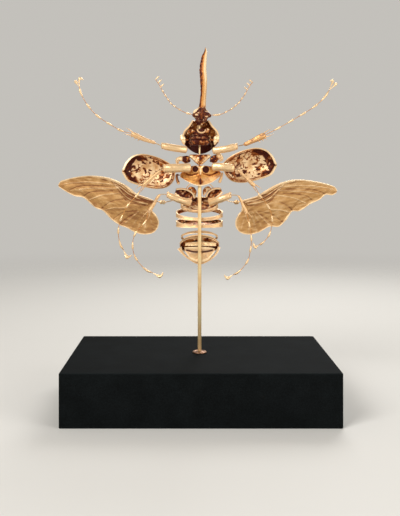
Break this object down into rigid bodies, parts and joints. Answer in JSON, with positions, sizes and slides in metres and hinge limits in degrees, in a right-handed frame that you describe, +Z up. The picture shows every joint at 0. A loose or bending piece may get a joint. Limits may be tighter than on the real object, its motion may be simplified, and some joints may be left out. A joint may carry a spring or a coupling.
{
  "type": "mounted horned beetle on a slab",
  "caption": "Gilded horned beetle taken apart into separate pieces and mounted, underside forward, on a brass rod that stands on a black stone slab.",
  "frame": {"origin": "centre of the slab's underside, on the surface it stands on", "axes": "+Z up along the rod to the horn's tip, -Y to the front, the way the beetle's underside faces, +X to the viewer's right"},
  "size_m": [0.1994, 0.12, 0.2515],
  "materials": {
    "gilt_chitin": "gilded dry chitin, warm gold with maroon patina in the hollows",
    "pale_gilt_chitin": "gilded dry chitin, pale cream gold, smooth",
    "wing_membrane": "matte gold membrane with raised veins and fine pleats",
    "dark_chitin": "dark maroon-brown chitin with gilded rims and patches",
    "mounting_wire": "fine gilded wire",
    "rod_brass": "polished pale brass",
    "foot_copper": "dulled coppery brass",
    "black_stone": "honed black granite with a fine grain"
  },
  "bodies": {
    "root": {"base_slab": "black_stone", "rod_foot": "foot_copper", "support_rod": "rod_brass", "head_with_horn": "dark_chitin", "antenna_left": "pale_gilt_chitin", "antenna_right": "pale_gilt_chitin", "pronotum": "dark_chitin", "prosternum": "dark_chitin", "fore_coxa_left": "pale_gilt_chitin", "fore_coxa_right": "pale_gilt_chitin", "mesosternum": "gilt_chitin", "mid_coxa_left": "gilt_chitin", "mid_coxa_right": "gilt_chitin", "metasternum": "gilt_chitin", "side_plate_left": "dark_chitin", "side_plate_right": "dark_chitin", "hind_coxa_left": "dark_chitin", "hind_coxa_right": "dark_chitin", "abdomen_ring_1": "gilt_chitin", "abdomen_ring_2": "gilt_chitin", "abdomen_ring_3": "gilt_chitin", "abdomen_ring_4": "gilt_chitin", "abdomen_ring_5": "gilt_chitin", "abdomen_ring_6": "gilt_chitin", "last_sternite": "gilt_chitin", "tail_plate": "gilt_chitin", "elytron_left": "gilt_chitin", "elytron_wire_left": "mounting_wire", "hindwing_left": "wing_membrane", "wing_wire_left": "mounting_wire", "elytron_right": "gilt_chitin", "elytron_wire_right": "mounting_wire", "hindwing_right": "wing_membrane", "wing_wire_right": "mounting_wire", "femur_fore_left": "pale_gilt_chitin", "tibia_fore_left": "gilt_chitin", "tarsus_fore_left": "pale_gilt_chitin", "femur_fore_right": "pale_gilt_chitin", "tibia_fore_right": "gilt_chitin", "tarsus_fore_right": "pale_gilt_chitin", "femur_mid_left": "pale_gilt_chitin", "tibia_mid_left": "gilt_chitin", "tarsus_mid_left": "pale_gilt_chitin", "femur_mid_right": "pale_gilt_chitin", "tibia_mid_right": "gilt_chitin", "tarsus_mid_right": "pale_gilt_chitin", "femur_hind_left": "pale_gilt_chitin", "tibia_hind_left": "gilt_chitin", "tarsus_hind_left": "pale_gilt_chitin", "femur_hind_right": "pale_gilt_chitin", "tibia_hind_right": "gilt_chitin", "tarsus_hind_right": "pale_gilt_chitin"}
  },
  "joints": []
}
